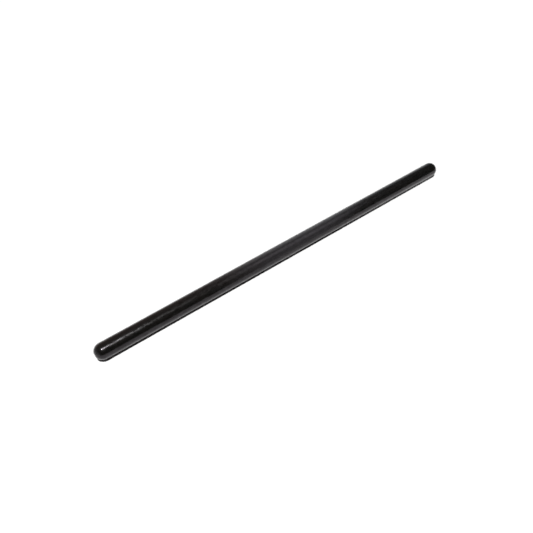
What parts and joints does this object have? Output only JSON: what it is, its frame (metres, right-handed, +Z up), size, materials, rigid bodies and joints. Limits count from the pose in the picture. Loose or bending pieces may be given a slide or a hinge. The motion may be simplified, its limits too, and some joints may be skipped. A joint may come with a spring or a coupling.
{
  "type": "engine pushrod",
  "caption": "Straight tubular steel rod with a full-radius ball formed on each end, bored through for oil and finished black.",
  "frame": {"origin": "centre of the ball at the lifter end, on the rod's axis", "axes": "+X along the rod's axis from the lifter end towards the rocker end, +Z up as the rod lies on a bench"},
  "size_m": [0.213, 0.008, 0.008],
  "materials": {
    "black_oxide": "satin"
  },
  "bodies": {
    "root": {"pushrod": "black_oxide"}
  },
  "joints": []
}
